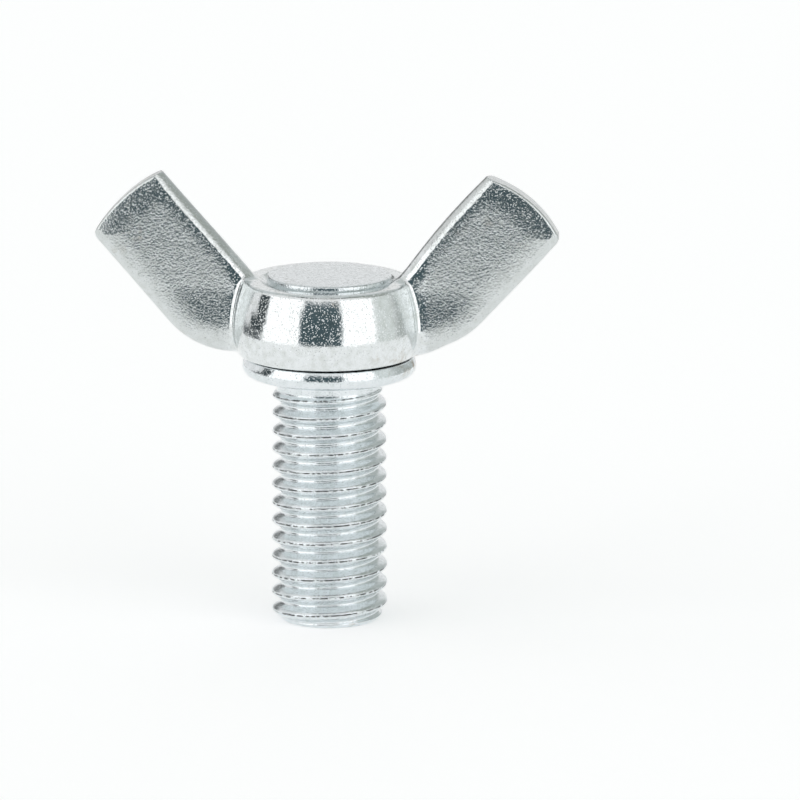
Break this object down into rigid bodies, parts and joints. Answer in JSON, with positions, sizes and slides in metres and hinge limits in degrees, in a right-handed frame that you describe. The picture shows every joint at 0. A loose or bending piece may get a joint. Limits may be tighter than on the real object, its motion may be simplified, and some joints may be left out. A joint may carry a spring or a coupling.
{
  "type": "wing bolt",
  "caption": "Zinc-plated steel wing bolt: a forged wing head riveted on a threaded stud with a collar, turned by finger and thumb.",
  "frame": {"origin": "centre of the collar's underside, the flat ring that bears on the work", "axes": "+Z along the bolt's axis towards the wings, so the thread runs down -Z; the wings spread along X"},
  "size_m": [0.0316, 0.0128, 0.0311],
  "materials": {
    "zinc_plated_head": "bright zinc plating over a fine forged grain",
    "zinc_plated_stud": "bright zinc plating over rolled thread"
  },
  "bodies": {
    "root": {"wing_head": "zinc_plated_head", "threaded_stud": "zinc_plated_stud"}
  },
  "joints": []
}
